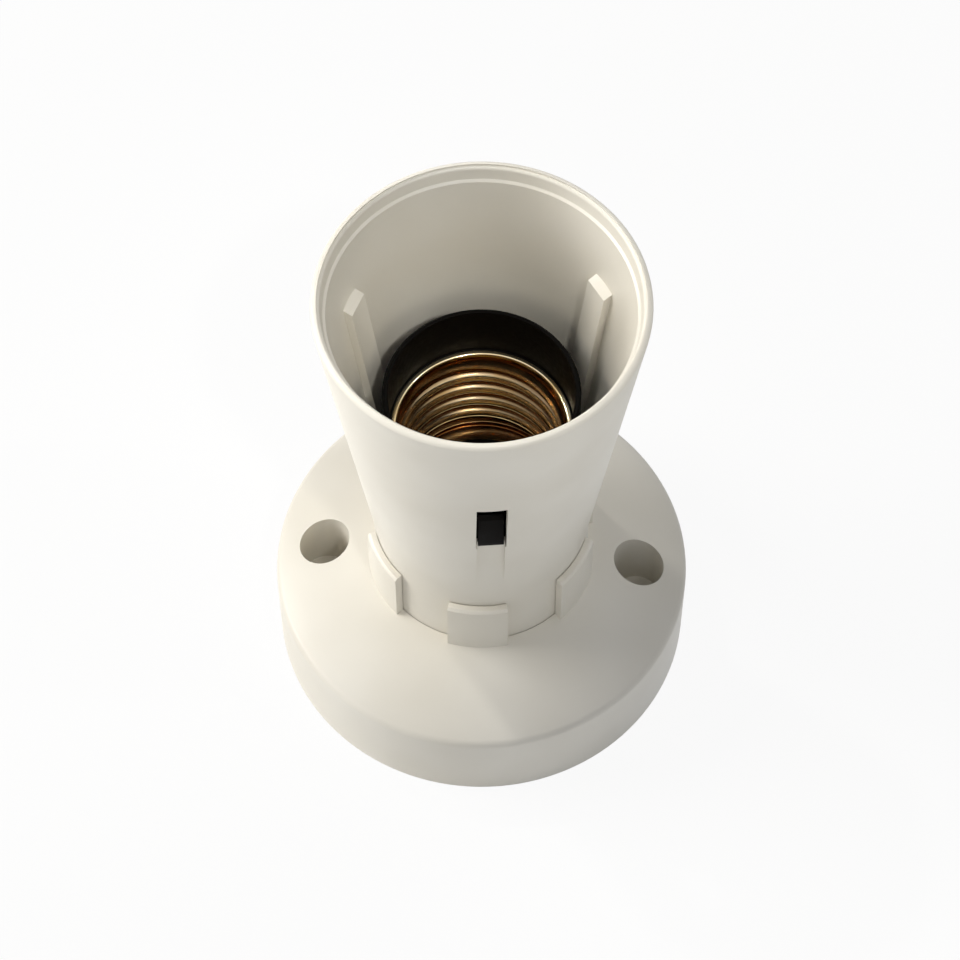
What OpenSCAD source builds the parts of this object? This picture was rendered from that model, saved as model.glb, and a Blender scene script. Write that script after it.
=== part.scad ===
// Surface-mounted lamp holder for a screw-cap lamp.
// A round base with two deep screw recesses carries a conical shade tube, and inside the tube
// a black insert holds the brass screw shell, the sprung centre contact and two wire terminals.
// Z is up, the mounting face is at Z = 0 and the two fixing holes lie along X.

/* [Shade tube] */
// Height of the mouth above the mounting face
total_h = 96; // [90:0.5:106]
// Outer diameter of the tube at its mouth
mouth_d = 50.4; // [46:0.2:56]
// Wall of the tube, measured level
tube_wall = 1.8; // [1.4:0.1:2.4]
// Depth of the shallow step inside the mouth
lip_step = 0.35; // [0.2:0.05:0.6]
// Height of that step below the mouth
lip_step_h = 2.6; // [1.5:0.1:5]
// Turn of the tube and the insert on the base, seen from above
tube_turn = 8.5; // [0:0.5:15]
// Width of each inner rib
rib_w = 4.4; // [2.5:0.1:5]
// How far a rib stands in from the wall
rib_h = 1.5; // [1:0.1:2.6]
// Top of the ribs below the mouth
rib_drop = 13.5; // [8:0.5:20]
// Angle of each rib behind the tube's cross line
rib_angle = 27; // [18:1:40]
// Width of the latch windows
window_w = 4.7; // [3.6:0.1:6]
// Height of the front latch window
window_h = 15; // [9:0.5:18]
// Height of the rear latch window, which the insert's rim hides from above
rear_window_h = 5; // [4.5:0.1:6]
// Bottom of the windows above the mounting face
window_z = 57.5; // [56:0.5:60]
// Depth of the groove under a window, at its top
groove_t = 1.2; // [0.5:0.1:1.2]
// Length of that groove, down to where it fades out
groove_l = 16; // [12:0.5:22]

/* [Base] */
// Diameter of the base
base_d = 68.4; // [66:0.2:76]
// Height of the skirt, up to the edge of the dome
skirt_h = 15.7; // [14:0.1:18]
// Height of the dome above that edge, at the middle
dome_rise = 7.6; // [5:0.1:10]
// Radius of the soft edge between skirt and dome
edge_r = 1.6; // [1.5:0.1:4]
// Wall of the base
base_wall = 2.2; // [1.6:0.1:2.8]
// Distance of the two fixing holes in from the rim of the base
fixing_inset = 8; // [7.4:0.1:9]
// Diameter of the fixing holes
fixing_d = 4.4; // [3.4:0.1:5]
// Diameter of the screw recesses
recess_d = 8.4; // [7:0.1:8.6]
// Height of the floor of the screw recesses
recess_floor = 6; // [3:0.5:10]
// Wall round each screw recess
boss_wall = 2.2; // [1.6:0.1:2.6]
// Thickness of the ribs under the dome
stiffener_t = 1.6; // [1.2:0.1:2.4]
// Clear height under those ribs
stiffener_z = 4; // [2:0.5:8]
// Number of tabs round the foot of the tube
tab_count = 6; // [4:1:8]
// Width of each tab
tab_w = 9.8; // [7:0.2:11]
// Thickness of the tabs
tab_t = 1.35; // [1:0.05:1.8]
// Top of the tabs above the mounting face
tab_top = 33; // [29:0.5:36]
// Turn of the ring of tabs on the base
tab_turn = 2.4; // [0:0.2:10]

/* [Hub] */
// Depth of the wiring space under the hub floor
wiring_h = 11.6; // [9:0.1:13]
// Thickness of the hub floor that carries the tube and the insert
hub_floor_t = 2.4; // [1.8:0.1:3]
// Wall of the hub sleeve
hub_wall = 2; // [1.5:0.1:2.6]
// Radius of the wire opening in the hub floor
wire_open_r = 12; // [11:0.1:12.6]

/* [Lamp thread] */
// Largest inner diameter of the screw shell, at the thread roots
thread_d = 26.7; // [26.5:0.05:26.9]
// Depth of the rolled thread
thread_depth = 1.1; // [0.9:0.05:1.25]
// Pitch of the rolled thread
thread_pitch = 3.629; // [3.5:0.001:3.75]
// Thickness of the brass sheet
shell_wall = 0.35; // [0.25:0.05:0.45]
// Length of the screw shell
shell_l = 22; // [20:0.1:24]
// Inner radius of the shell's turned-in bottom flange
flange_r = 10.6; // [10.4:0.1:11.4]

/* [Insert] */
// Wall of the insert outside the shell
core_wall = 1.45; // [1.3:0.05:1.9]
// Height of the wire chamber, from the hub floor to the insert's floor
chamber_h = 18; // [16:0.5:19]
// Thickness of the insert's floor
core_floor_t = 5.5; // [5:0.1:6.5]
// Plain throat above the screw shell
throat_l = 10.5; // [6:0.5:12]
// How far the seat of the shell's lip stands out from the bore
lip_seat = 0.38; // [0.3:0.02:0.4]
// Wall of the wire chamber
chamber_wall = 1.6; // [1.3:0.1:1.8]
// Radius of the pillars that take the insert's screws
pillar_r = 3; // [2.6:0.1:3.4]
// Distance of those pillars from the middle
pillar_at = 10.3; // [10:0.1:10.6]
// Direction of the first pillar
pillar_angle = 58; // [50:1:66]

/* [Centre contact] */
// Radius of the contact button's head
button_r = 4.2; // [3.4:0.1:4.4]
// Top of the button above the insert's floor
button_rise = 6; // [5.5:0.1:7]
// Thickness of the button's head
button_t = 1.8; // [1.4:0.1:2.2]
// Radius of the button's stem
stem_r = 1.5; // [1.2:0.05:1.7]
// Radius of the spring's wire
wire_r = 0.3; // [0.2:0.05:0.35]
// Number of turns in the spring
spring_turns = 4; // [3:0.5:5]
// Depth of the slot in the insert's floor that holds the spring
slot_depth = 2.6; // [2.2:0.1:2.9]

/* [Terminals] */
// Thickness of the contact strips
strip_t = 0.5; // [0.4:0.05:0.7]
// Thickness of the terminal plates
plate_t = 1.2; // [1:0.1:1.5]
// Radius of a terminal screw's thread
term_screw_r = 1.75; // [1.5:0.05:1.9]
// Radius of a terminal screw's head
term_head_r = 3.2; // [2.8:0.1:3.3]
// Height of a terminal screw's head
term_head_t = 2.2; // [1.8:0.1:2.6]
// Thread of a terminal screw above its plate
term_reach = 3; // [2:0.1:3.4]
// Thickness of a clamp washer
washer_t = 0.8; // [0.6:0.1:1]
// Distance of the terminal screws from the middle
term_at = 9.05; // [8.8:0.05:9.2]
// Direction of the live terminal screw
term_angle = -47; // [-50:1:-42]
// Distance of the live rivet from the middle
live_rivet_at = 7; // [6.8:0.1:7.2]
// Distance of the neutral rivet from the middle
neutral_rivet_at = 10.2; // [10.1:0.05:10.3]
// Radius of a rivet's shank
rivet_r = 1.2; // [1:0.05:1.3]

/* [Insert screws] */
// Radius of the insert screws
core_screw_r = 1.5; // [1.3:0.05:1.7]
// Radius of their heads
core_head_r = 2.9; // [2.5:0.1:3]
// Height of their heads
core_head_t = 2; // [1.6:0.1:2.4]
// Length of their shanks
core_screw_l = 14; // [10:0.5:16]

/* [Clearances] */
// Gap between the shell's roots and the insert's bore
shell_gap = 0.15; // [0.1:0.05:0.25]
// Gap between the insert and the foot of the tube
core_gap = 0.4; // [0.3:0.05:0.6]
// Gap between the tube's foot and the base
fit_gap = 0.1; // [0.08:0.01:0.2]
// Gap of a rivet or screw in its hole
hole_gap = 0.05; // [0.03:0.01:0.1]
// Running gap of the button's stem
run_gap = 0.08; // [0.05:0.01:0.1]
// Gap round the latches
latch_gap = 0.35; // [0.3:0.05:0.5]

/* [Hidden] */
$fn = 96;
cut = 1;                                             // how far a cut runs past a face

// Insert and tube radii, built outwards from the lamp thread
root_r = thread_d / 2;
bore_r = root_r + shell_wall + shell_gap;
core_r = bore_r + core_wall;
throat_r = core_r - 0.6 * core_wall;
lip_seat_r = bore_r + lip_seat;
chamber_r = core_r - chamber_wall;
foot_in_r = core_r + core_gap;
foot_r = foot_in_r + tube_wall;
mouth_r = mouth_d / 2;
collar_r = foot_r + fit_gap;

// Levels, built upwards from the mounting face
seat_z = wiring_h + hub_floor_t;
floor_z = seat_z + chamber_h;
floor_top = floor_z + core_floor_t;
shell_top = floor_top + shell_l;
rim_z = shell_top + throat_l;
cone_z = tab_top + 1;
taper = (mouth_r - foot_r) / (total_h - cone_z);
rib_top = total_h - rib_drop;

base_r = base_d / 2;
fixing_at = base_r - fixing_inset;
recess_r = recess_d / 2;
boss_r = recess_r + boss_wall;
hub_r = collar_r + hub_wall;
tab_r = collar_r + tab_t;
tab_arc = 2 * asin(tab_w / 2 / tab_r);
edge_steps = 6;
dome_steps = 14;

// Centre contact, built down from the button's top
slot_z = floor_top - slot_depth;
slot_w = 2 * (stem_r + 2 * wire_r) + 1.4;
spring_r = stem_r + 2 * wire_r + 0.2;
head_z = floor_top + button_rise - button_t;
clip_t = 0.6;
clip_r = 2 * stem_r;
clip_z = floor_z - hole_gap - clip_t;
stem_z = clip_z - 1.2;
spring_z = slot_z + strip_t;
spring_sides = 6;
spring_steps = 16;

// Terminals
plate_z = floor_z - plate_t;
washer_z = plate_z - washer_t;
washer_r = term_head_r + 0.3;
term_tip_z = floor_z + term_reach;
rivet_head_r = 1.6 * rivet_r;
rivet_head_t = 0.8 * rivet_r;
plate_end_r = 3;
strip_w = 2 * rivet_head_r + 3.4;
strip_out = neutral_rivet_at + 2.9;
strip_in = neutral_rivet_at - 2.9;
live_screw_xy = term_at * [cos(term_angle), sin(term_angle)];
neutral_screw_xy = -live_screw_xy;
live_rivet_xy = [live_rivet_at, 0];
neutral_rivet_xy = [-neutral_rivet_at, 0];
pillar_xy = pillar_at * [cos(pillar_angle), sin(pillar_angle)];

// Rolled thread of the shell
thread_rows = 8;                                     // rows of points for each pitch
thread_steps = 40;                                   // points round the shell
plain_l = 1.2;                                       // plain sheet at each end
rollout = thread_pitch / 2;                          // length over which the thread fades in
lip_r = lip_seat_r - shell_gap;
notch_arc = 27;                                      // gap in the flange for the neutral rivet

function tube_r(z) = foot_r + taper * max(0, z - cone_z);
function tube_in_r(z) = tube_r(z) - tube_wall;
function arc(c, r, a0, a1, n) =
    [for (i = [0:n]) let (a = a0 + (a1 - a0) * i / n) c + r * [cos(a), sin(a)]];

// Outline of the base: straight skirt, soft edge and a dome that is part of one large circle
function base_outline(r, side, rise, edge, low) =
    let (big = (r * r + rise * rise) / (2 * rise),
         centre = side + rise - big,
         edge_z = centre + sqrt((big - edge) * (big - edge) - (r - edge) * (r - edge)),
         edge_a = atan2(edge_z - centre, r - edge),
         last = big * cos(edge_a))
    concat([[0, low], [r, low]],
           arc([r - edge, edge_z], edge, 0, edge_a, edge_steps),
           [for (i = [1:dome_steps])
            let (x = last * (1 - i / dome_steps)) [x, centre + sqrt(big * big - x * x)]]);

module turned(points) { rotate_extrude() polygon(points); }
module at(xy, z) { translate([xy[0], xy[1], z]) children(); }
// A profile given as radius and height, standing on the X axis with a thickness across it
module upright(points, w) { rotate([90, 0, 0]) translate([0, 0, -w / 2]) linear_extrude(w) polygon(points); }

module base_solid() { turned(base_outline(base_r, skirt_h, dome_rise, edge_r, 0)); }
module base_hollow() {
    inner_edge = max(0.3, edge_r - base_wall);
    turned(base_outline(base_r - base_wall, skirt_h - base_wall, dome_rise, inner_edge, -cut));
}
module fixings() { for (s = [-1, 1]) translate([s * fixing_at, 0, 0]) children(); }
module pillars() {
    for (s = [0, 180]) rotate([0, 0, s + pillar_angle]) translate([pillar_at, 0, 0]) children();
}

module tabs() {
    bevel = tab_t / 3;
    for (i = [0:tab_count - 1])
        rotate([0, 0, 270 + tab_turn + i * 360 / tab_count - tab_arc / 2])
            rotate_extrude(angle = tab_arc)
                polygon([[collar_r, skirt_h], [tab_r, skirt_h], [tab_r, tab_top - bevel],
                         [tab_r - bevel, tab_top], [collar_r, tab_top]]);
}

module stiffeners() {
    for (a = [30:60:330])
        rotate([0, 0, a]) translate([hub_r - cut, -stiffener_t / 2, stiffener_z])
            cube([base_r - base_wall / 2 - hub_r + cut, stiffener_t, skirt_h + dome_rise]);
}

module wire_opening() {
    translate([0, 0, wiring_h - cut]) linear_extrude(hub_floor_t + 2 * cut) difference() {
        circle(r = wire_open_r);
        for (s = [-1, 1]) translate(s * pillar_xy) circle(r = pillar_r + 1);
    }
}

module base_housing() {
    color("ivory") difference() {
        union() {
            difference() { base_solid(); base_hollow(); }
            intersection() {
                base_solid();
                union() {
                    translate([0, 0, wiring_h]) cylinder(r = hub_r, h = total_h);
                    fixings() cylinder(r = boss_r, h = total_h);
                    stiffeners();
                }
            }
            tabs();
        }
        translate([0, 0, seat_z]) cylinder(r = collar_r, h = total_h);
        wire_opening();
        fixings() translate([0, 0, recess_floor]) cylinder(r = recess_r, h = total_h);
        fixings() translate([0, 0, -cut]) cylinder(r = fixing_d / 2, h = total_h);
        pillars() translate([0, 0, wiring_h - cut])
            cylinder(r = core_screw_r + hole_gap, h = hub_floor_t + 2 * cut);
    }
}

// Inner rib of the tube: it follows the wall, and straightens where it would meet the insert
module tube_rib() {
    meet_z = cone_z + rib_h / taper;
    sink = tube_wall / 2;
    upright([[foot_in_r, cone_z], [foot_in_r, meet_z], [tube_in_r(rib_top) - rib_h, rib_top],
             [tube_in_r(rib_top) + sink, rib_top + 1], [foot_in_r + sink, cone_z]], rib_w);
}

// Window for a latch, and under it the shallow groove that leads a tool to the latch
module latch_window(height) {
    groove_z = window_z - groove_l;
    translate([foot_in_r - cut, -window_w / 2, window_z]) cube([mouth_r, window_w, height]);
    upright([[tube_r(groove_z), groove_z], [tube_r(window_z) - groove_t, window_z + cut],
             [mouth_r, window_z + cut], [mouth_r, groove_z]], window_w - 0.4);
}

module shade_tube() {
    round_r = tube_wall / 2;
    step_z = total_h - lip_step_h;
    color("ivory") rotate([0, 0, tube_turn]) difference() {
        union() {
            turned(concat([[foot_in_r, seat_z], [foot_r, seat_z], [foot_r, cone_z]],
                          arc([mouth_r - round_r, total_h - round_r], round_r, 0, 90, 5),
                          arc([mouth_r - round_r, total_h - round_r], round_r - lip_step, 90, 180, 4),
                          [[tube_in_r(step_z) + lip_step, step_z],
                           [tube_in_r(step_z - lip_step), step_z - lip_step], [foot_in_r, cone_z]]));
            for (a = [rib_angle, 180 - rib_angle]) rotate([0, 0, a]) tube_rib();
        }
        rotate([0, 0, 90]) latch_window(rear_window_h);
        rotate([0, 0, 270]) latch_window(window_h);
    }
}

// Springy finger on the insert's side, whose nose snaps into a window of the tube
module latch(height) {
    finger = 1.1;
    nose_l = min(6, height - 2 * latch_gap);
    root_z = window_z - 12;
    nose_z = window_z + latch_gap;
    top_z = nose_z + nose_l;
    upright([[core_r - core_wall / 2, root_z], [core_r + 0.3, root_z],
             [tube_in_r(root_z + 2) - latch_gap, root_z + 2],
             [tube_in_r(nose_z) - latch_gap, nose_z], [tube_r(nose_z) - latch_gap, nose_z],
             [tube_r(nose_z) - latch_gap, nose_z + 1], [tube_in_r(top_z) - latch_gap, top_z],
             [tube_in_r(top_z) - latch_gap - finger, top_z],
             [tube_in_r(root_z + 4) - latch_gap - finger, root_z + 4], [core_r - core_wall / 2, root_z + 4]],
            window_w - 2 * latch_gap);
}

module insulating_core() {
    chamfer = 0.3;
    step_z = shell_top - shell_wall;
    color([0.09, 0.08, 0.08]) difference() {
        union() {
            turned([[0, floor_z], [chamber_r, floor_z], [chamber_r, seat_z], [core_r, seat_z],
                    [core_r, rim_z - chamfer], [core_r - chamfer, rim_z], [throat_r, rim_z],
                    [throat_r, shell_top], [lip_seat_r, shell_top], [lip_seat_r, step_z], [bore_r, step_z],
                    [bore_r, floor_top], [0, floor_top]]);
            pillars() translate([0, 0, seat_z]) cylinder(r = pillar_r, h = chamber_h + core_floor_t / 2);
            rotate([0, 0, 90 + tube_turn]) latch(rear_window_h);
            rotate([0, 0, 270 + tube_turn]) latch(window_h);
        }
        pillars() translate([0, 0, seat_z - cut])
            cylinder(r = core_screw_r + hole_gap, h = core_screw_l - hub_floor_t + 2 * cut);
        // slot and pocket for the spring and the live strip
        translate([0, 0, slot_z]) cylinder(r = button_r + 0.3, h = core_floor_t);
        translate([0, -slot_w / 2, slot_z]) cube([live_rivet_at + rivet_head_r + 0.4, slot_w, core_floor_t]);
        translate([0, 0, floor_z - cut]) cylinder(r = stem_r + run_gap, h = core_floor_t);
        // shallow slot for the neutral strip
        translate([-strip_out - 0.1, -strip_w / 2 - 0.1, floor_top - strip_t])
            cube([strip_out - strip_in + 0.2, strip_w + 0.2, core_floor_t]);
        for (p = [live_rivet_xy, neutral_rivet_xy]) at(p, floor_z - cut)
            cylinder(r = rivet_r + hole_gap, h = 2 * core_floor_t);
        for (p = [live_screw_xy, neutral_screw_xy]) at(p, floor_z - cut)
            cylinder(r = term_screw_r + 0.3, h = term_reach + 0.5 + cut);
    }
}

// Inner radius of the shell at one point of its wall
function thread_r(a, z) =
    let (in = min(1, max(0, (z - floor_top - plain_l) / rollout)),
         out = min(1, max(0, (shell_top - plain_l - z) / rollout)))
    root_r - thread_depth * min(in, out) * (1 - cos(360 * z / thread_pitch - a)) / 2;

// Closed section of the shell at one angle: up the outside, over the lip and down the inside
function shell_section(a, levels) =
    let (flange = abs(a - 180) < notch_arc / 2 ? root_r - 0.4 : flange_r,
         outside = root_r + shell_wall)
    concat([[flange, floor_top], [outside - 0.6, floor_top], [outside, floor_top + 0.6]],
           [for (z = levels) [thread_r(a, z) + shell_wall, z]],
           [[outside, shell_top - shell_wall], [lip_r, shell_top - shell_wall], [lip_r, shell_top],
            [root_r + 0.3, shell_top], [root_r, shell_top - 0.3]],
           [for (i = [len(levels) - 1:-1:0]) [thread_r(a, levels[i]), levels[i]]],
           [[root_r, floor_top + 0.8], [root_r - 0.5, floor_top + shell_wall],
            [flange, floor_top + shell_wall]]);

module screw_shell() {
    span = shell_l - 2 * plain_l;
    rows = round(span / thread_pitch * thread_rows);
    levels = [for (i = [0:rows]) floor_top + plain_l + span * i / rows];
    sections = [for (k = [0:thread_steps - 1]) shell_section(k * 360 / thread_steps, levels)];
    n = len(sections[0]);
    points = [for (k = [0:thread_steps - 1], p = sections[k])
              let (a = k * 360 / thread_steps) [p[0] * cos(a), p[0] * sin(a), p[1]]];
    quads = [for (k = [0:thread_steps - 1], j = [0:n - 1])
             let (k2 = (k + 1) % thread_steps, j2 = (j + 1) % n)
             [k * n + j, k * n + j2, k2 * n + j2, k2 * n + j]];
    faces = [for (q = quads, t = [[0, 1, 2], [0, 2, 3]]) [q[t[0]], q[t[1]], q[t[2]]]];
    color("goldenrod") polyhedron(points, faces);
}

module contact_button() {
    crown = button_r * 0.55;
    color("gold") turned([[0, stem_z], [stem_r - 0.3, stem_z], [stem_r, stem_z + 0.3], [stem_r, head_z],
                          [button_r, head_z], [button_r, head_z + button_t / 2], [crown, head_z + button_t],
                          [0, head_z + button_t]]);
}

module contact_spring() {
    height = head_z - spring_z - 2 * wire_r;
    count = round(spring_turns * spring_steps);
    ring = [for (i = [0:count])
            let (a = 360 * spring_turns * i / count, z = spring_z + wire_r + height * i / count)
            for (j = [0:spring_sides - 1]) let (b = 360 * j / spring_sides, r = spring_r + wire_r * cos(b))
            [r * cos(a), r * sin(a), z + wire_r * sin(b)]];
    walls = [for (i = [0:count - 1], j = [0:spring_sides - 1])
             let (j2 = (j + 1) % spring_sides, p = i * spring_sides, q = p + spring_sides)
             for (t = [[p + j, q + j, q + j2], [p + j, q + j2, p + j2]]) t];
    first = [for (j = [0:spring_sides - 1]) j];
    last = [for (j = [spring_sides - 1:-1:0]) count * spring_sides + j];
    color("silver") polyhedron(ring, concat(walls, [first], [last]));
}

module stem_clip() {
    color("silver") translate([0, 0, clip_z]) linear_extrude(clip_t) difference() {
        circle(r = clip_r);
        circle(r = stem_r + 0.02);
    }
}

module live_strip() {
    w = slot_w - 0.4;
    color("goldenrod") translate([0, 0, slot_z]) linear_extrude(strip_t) difference() {
        union() {
            circle(r = button_r);
            translate([0, -w / 2]) square([live_rivet_at + rivet_head_r + 0.2, w]);
        }
        circle(r = stem_r + 0.3);
        translate(live_rivet_xy) circle(r = rivet_r + hole_gap);
    }
}

module neutral_strip() {
    color("goldenrod") translate([0, 0, floor_top - strip_t]) linear_extrude(strip_t) difference() {
        translate([-strip_out, -strip_w / 2]) square([strip_out - strip_in, strip_w]);
        translate(neutral_rivet_xy) circle(r = rivet_r + hole_gap);
    }
}

// Rivet with a domed head above top_z and a closed tail below the terminal plate
module rivet(xy, top_z) {
    crown = arc([0, 0], 1, 90, 0, 5);
    color("silver") at(xy, 0)
        turned(concat([for (p = crown) [rivet_head_r * p[0], top_z + rivet_head_t * p[1]]],
                      [[rivet_r, top_z], [rivet_r, plate_z], [rivet_head_r, plate_z],
                       [rivet_head_r - 0.4, plate_z - rivet_head_t], [0, plate_z - rivet_head_t]]));
}
module live_rivet() { rivet(live_rivet_xy, slot_z + strip_t); }
module neutral_rivet() { rivet(neutral_rivet_xy, floor_top); }

module terminal_plate(rivet_xy, screw_xy) {
    run = screw_xy - rivet_xy;
    color("gold") translate([0, 0, plate_z]) linear_extrude(plate_t) difference() {
        union() {
            translate(rivet_xy) circle(r = plate_end_r);
            translate(screw_xy) circle(r = washer_r);
            translate(rivet_xy) rotate(atan2(run[1], run[0])) translate([0, -plate_end_r])
                square([norm(run), 2 * plate_end_r]);
        }
        translate(rivet_xy) circle(r = rivet_r + hole_gap);
        translate(screw_xy) circle(r = term_screw_r + hole_gap);
    }
}
module live_terminal_plate() { terminal_plate(live_rivet_xy, live_screw_xy); }
module neutral_terminal_plate() { terminal_plate(neutral_rivet_xy, neutral_screw_xy); }

module terminal_screw(xy) {
    slot_t = 0.9;
    color("silver") at(xy, 0) difference() {
        turned([[0, washer_z - term_head_t], [term_head_r - 0.4, washer_z - term_head_t],
                [term_head_r, washer_z - term_head_t + 0.4], [term_head_r, washer_z],
                [term_screw_r, washer_z], [term_screw_r, term_tip_z - 0.4],
                [term_screw_r - 0.4, term_tip_z], [0, term_tip_z]]);
        translate([-term_head_r - cut, -slot_t / 2, washer_z - term_head_t - cut])
            cube([2 * (term_head_r + cut), slot_t, cut + term_head_t / 2]);
    }
}
module live_terminal_screw() { terminal_screw(live_screw_xy); }
module neutral_terminal_screw() { terminal_screw(neutral_screw_xy); }

module clamp_washer(xy) {
    color("silver") at(xy, washer_z) linear_extrude(washer_t) difference() {
        circle(r = washer_r);
        circle(r = term_screw_r + hole_gap);
    }
}
module live_clamp_washer() { clamp_washer(live_screw_xy); }
module neutral_clamp_washer() { clamp_washer(neutral_screw_xy); }

module core_screw(xy) {
    slot_t = 0.8;
    low = wiring_h - core_head_t;
    tip = wiring_h + core_screw_l;
    color("silver") at(xy, 0) difference() {
        turned([[0, low], [core_head_r - 0.7, low], [core_head_r, low + 0.7], [core_head_r, wiring_h],
                [core_screw_r, wiring_h], [core_screw_r, tip - 2 * core_screw_r], [0.3, tip], [0, tip]]);
        for (a = [0, 90]) rotate([0, 0, a]) translate([-core_screw_r, -slot_t / 2, low - cut])
            cube([2 * core_screw_r, slot_t, cut + core_head_t / 2]);
    }
}
module core_screw_rear() { core_screw(pillar_xy); }
module core_screw_front() { core_screw(-pillar_xy); }

base_housing();
shade_tube();
insulating_core();
screw_shell();
contact_button();
contact_spring();
stem_clip();
live_strip();
neutral_strip();
live_rivet();
neutral_rivet();
live_terminal_plate();
neutral_terminal_plate();
live_terminal_screw();
neutral_terminal_screw();
live_clamp_washer();
neutral_clamp_washer();
core_screw_rear();
core_screw_front();
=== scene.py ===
import math

import bmesh
import bpy
import numpy as np
from mathutils import Matrix, Vector


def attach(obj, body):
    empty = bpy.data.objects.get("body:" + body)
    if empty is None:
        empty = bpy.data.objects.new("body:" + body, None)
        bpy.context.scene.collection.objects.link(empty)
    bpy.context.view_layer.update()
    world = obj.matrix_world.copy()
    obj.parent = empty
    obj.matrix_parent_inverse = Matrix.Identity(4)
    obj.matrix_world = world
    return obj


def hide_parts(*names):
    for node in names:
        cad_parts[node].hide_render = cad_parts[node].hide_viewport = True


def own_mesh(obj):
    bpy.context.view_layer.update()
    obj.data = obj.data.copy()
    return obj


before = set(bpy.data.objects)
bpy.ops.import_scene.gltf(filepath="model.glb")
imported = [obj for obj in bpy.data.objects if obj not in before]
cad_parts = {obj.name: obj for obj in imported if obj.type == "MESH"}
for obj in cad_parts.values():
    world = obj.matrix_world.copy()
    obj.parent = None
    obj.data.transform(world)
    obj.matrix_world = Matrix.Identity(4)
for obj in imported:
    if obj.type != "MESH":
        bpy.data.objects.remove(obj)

scene = bpy.context.scene
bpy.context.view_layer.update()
mm = 0.001  # the scene is in metres, sizes below are in mm unless a note says otherwise
print("frame loaded:", len(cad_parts), "nodes")


# Camera: it looks steeply down into the mouth, a little from the right

cameraView = {"azimuth": 4.3, "elevation": 60.06, "distance": 534, "lens": 126.15,
              "middle": (0, 0, 48), "right": -0.24, "up": -2.51}  # mm, the last two move the aim


def makeCamera(v):
    a, e = math.radians(v["azimuth"]), math.radians(v["elevation"])
    back = Vector((math.sin(a) * math.cos(e), -math.cos(a) * math.cos(e), math.sin(e)))
    right = Vector((math.cos(a), math.sin(a), 0))
    middle = Vector(v["middle"]) * mm
    aim = middle + (right * v["right"] + back.cross(right) * v["up"]) * mm
    data = bpy.data.cameras.new("camera")
    data.lens = v["lens"]
    data.clip_start = 0.01
    camera = bpy.data.objects.new("camera", data)
    scene.collection.objects.link(camera)
    camera.location = middle + back * v["distance"] * mm
    camera.rotation_euler = (aim - camera.location).to_track_quat("-Z", "Y").to_euler()
    scene.camera = camera


makeCamera(cameraView)
print("camera placed")


# Small helpers for colours and nodes

def linear(hexColour):
    # sRGB hex to the linear values that Blender works in
    parts = [int(hexColour[i:i + 2], 16) / 255 for i in (1, 3, 5)]
    return [c / 12.92 if c <= 0.04045 else ((c + 0.055) / 1.055) ** 2.4 for c in parts] + [1]


def perMm(size):
    return 1000 / size  # a texture's scale for features of this size, on Object coordinates in metres


def addNode(tree, kind, inputs=None, **settings):
    # an input is a value or the output of another node
    node = tree.nodes.new(kind)
    for name, value in settings.items():
        setattr(node, name, value)
    for name, value in (inputs or {}).items():
        if isinstance(value, bpy.types.NodeSocket):
            tree.links.new(value, node.inputs[name])
        else:
            node.inputs[name].default_value = value
    return node


def newMaterial(name):
    material = bpy.data.materials.new(name)
    material.use_nodes = True
    tree = material.node_tree
    tree.nodes.clear()
    return material, tree


# Materials

# White urea moulding, pressed in a polished tool: satin gloss, a faint orange peel, a hint of cream
whiteFinish = {"light": "#EAE6DC", "deep": "#E1DCD0", "clouds": 26, "cloudRange": (0.35, 0.65),
               "peel": 0.9, "peelHeight": 0.006, "grain": 0.22, "grainHeight": 0.0012,
               "grainRange": (0.3, 0.7), "gloss": (0.34, 0.46), "ior": 1.55, "shine": 0.5}


def ureaMoulding(name, f):
    material, tree = newMaterial(name)
    place = addNode(tree, "ShaderNodeTexCoord").outputs["Object"]
    clouds = addNode(tree, "ShaderNodeTexNoise",
                     {"Vector": place, "Scale": perMm(f["clouds"]), "Detail": 2})
    peel = addNode(tree, "ShaderNodeTexNoise", {"Vector": place, "Scale": perMm(f["peel"]), "Detail": 1})
    grain = addNode(tree, "ShaderNodeTexNoise", {"Vector": place, "Scale": perMm(f["grain"]), "Detail": 3})
    share = addNode(tree, "ShaderNodeMapRange", {
        "Value": clouds.outputs[0], "From Min": f["cloudRange"][0], "From Max": f["cloudRange"][1]})
    colour = addNode(tree, "ShaderNodeMix",
                     {0: share.outputs[0], 6: linear(f["deep"]), 7: linear(f["light"])}, data_type="RGBA")
    rough = addNode(tree, "ShaderNodeMapRange", {
        "Value": grain.outputs[0], "From Min": f["grainRange"][0], "From Max": f["grainRange"][1],
        "To Min": f["gloss"][0], "To Max": f["gloss"][1]})
    fine = addNode(tree, "ShaderNodeBump", {"Height": grain.outputs[0], "Distance": f["grainHeight"] * mm})
    soft = addNode(tree, "ShaderNodeBump", {"Height": peel.outputs[0], "Distance": f["peelHeight"] * mm,
                                            "Normal": fine.outputs[0]})
    shader = addNode(tree, "ShaderNodeBsdfPrincipled", {
        "Base Color": colour.outputs[2], "Roughness": rough.outputs[0], "Normal": soft.outputs[0],
        "IOR": f["ior"], "Specular IOR Level": f["shine"]})
    addNode(tree, "ShaderNodeOutputMaterial", {"Surface": shader.outputs[0]})
    return material


# Black phenolic moulding: brown-black and dull, so it drinks the light, with paler flecks of filler
blackFinish = {"light": "#0E0A08", "deep": "#050403", "flecks": 0.7, "fleckRange": (0.45, 0.75),
               "grainHeight": 0.003, "grainRange": (0.3, 0.7), "gloss": (0.5, 0.66), "ior": 1.6,
               "shine": 0.05}


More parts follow.
